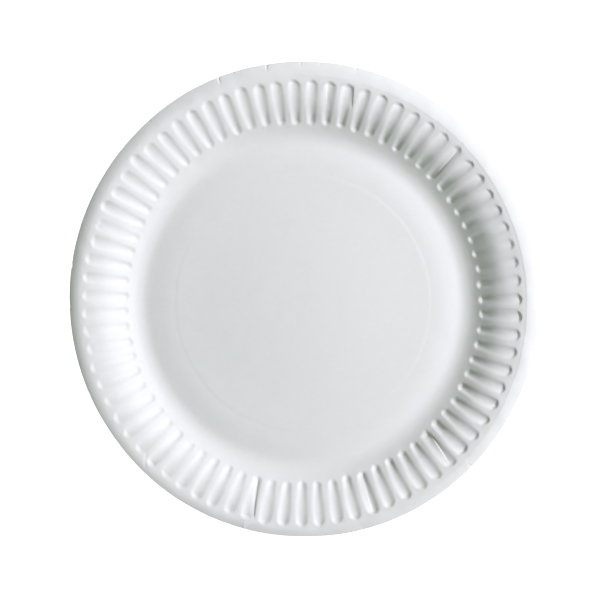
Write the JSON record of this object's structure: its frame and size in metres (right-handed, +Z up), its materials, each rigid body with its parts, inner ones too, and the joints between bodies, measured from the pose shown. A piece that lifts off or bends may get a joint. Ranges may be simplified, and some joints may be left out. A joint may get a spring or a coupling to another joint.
{
  "type": "paper plate",
  "caption": "Round disposable plate pressed from white paperboard, with a shallow floor, a fluted wall and a smooth rolled-down rim.",
  "frame": {"origin": "on the surface it rests on, under the middle of the plate's cut edge", "axes": "+Z up, square to the surface it rests on; +X to the picture's right and +Y to its top"},
  "size_m": [0.2293, 0.2309, 0.0166],
  "materials": {
    "white_board": "satin"
  },
  "bodies": {
    "root": {"plate": "white_board"}
  },
  "joints": []
}
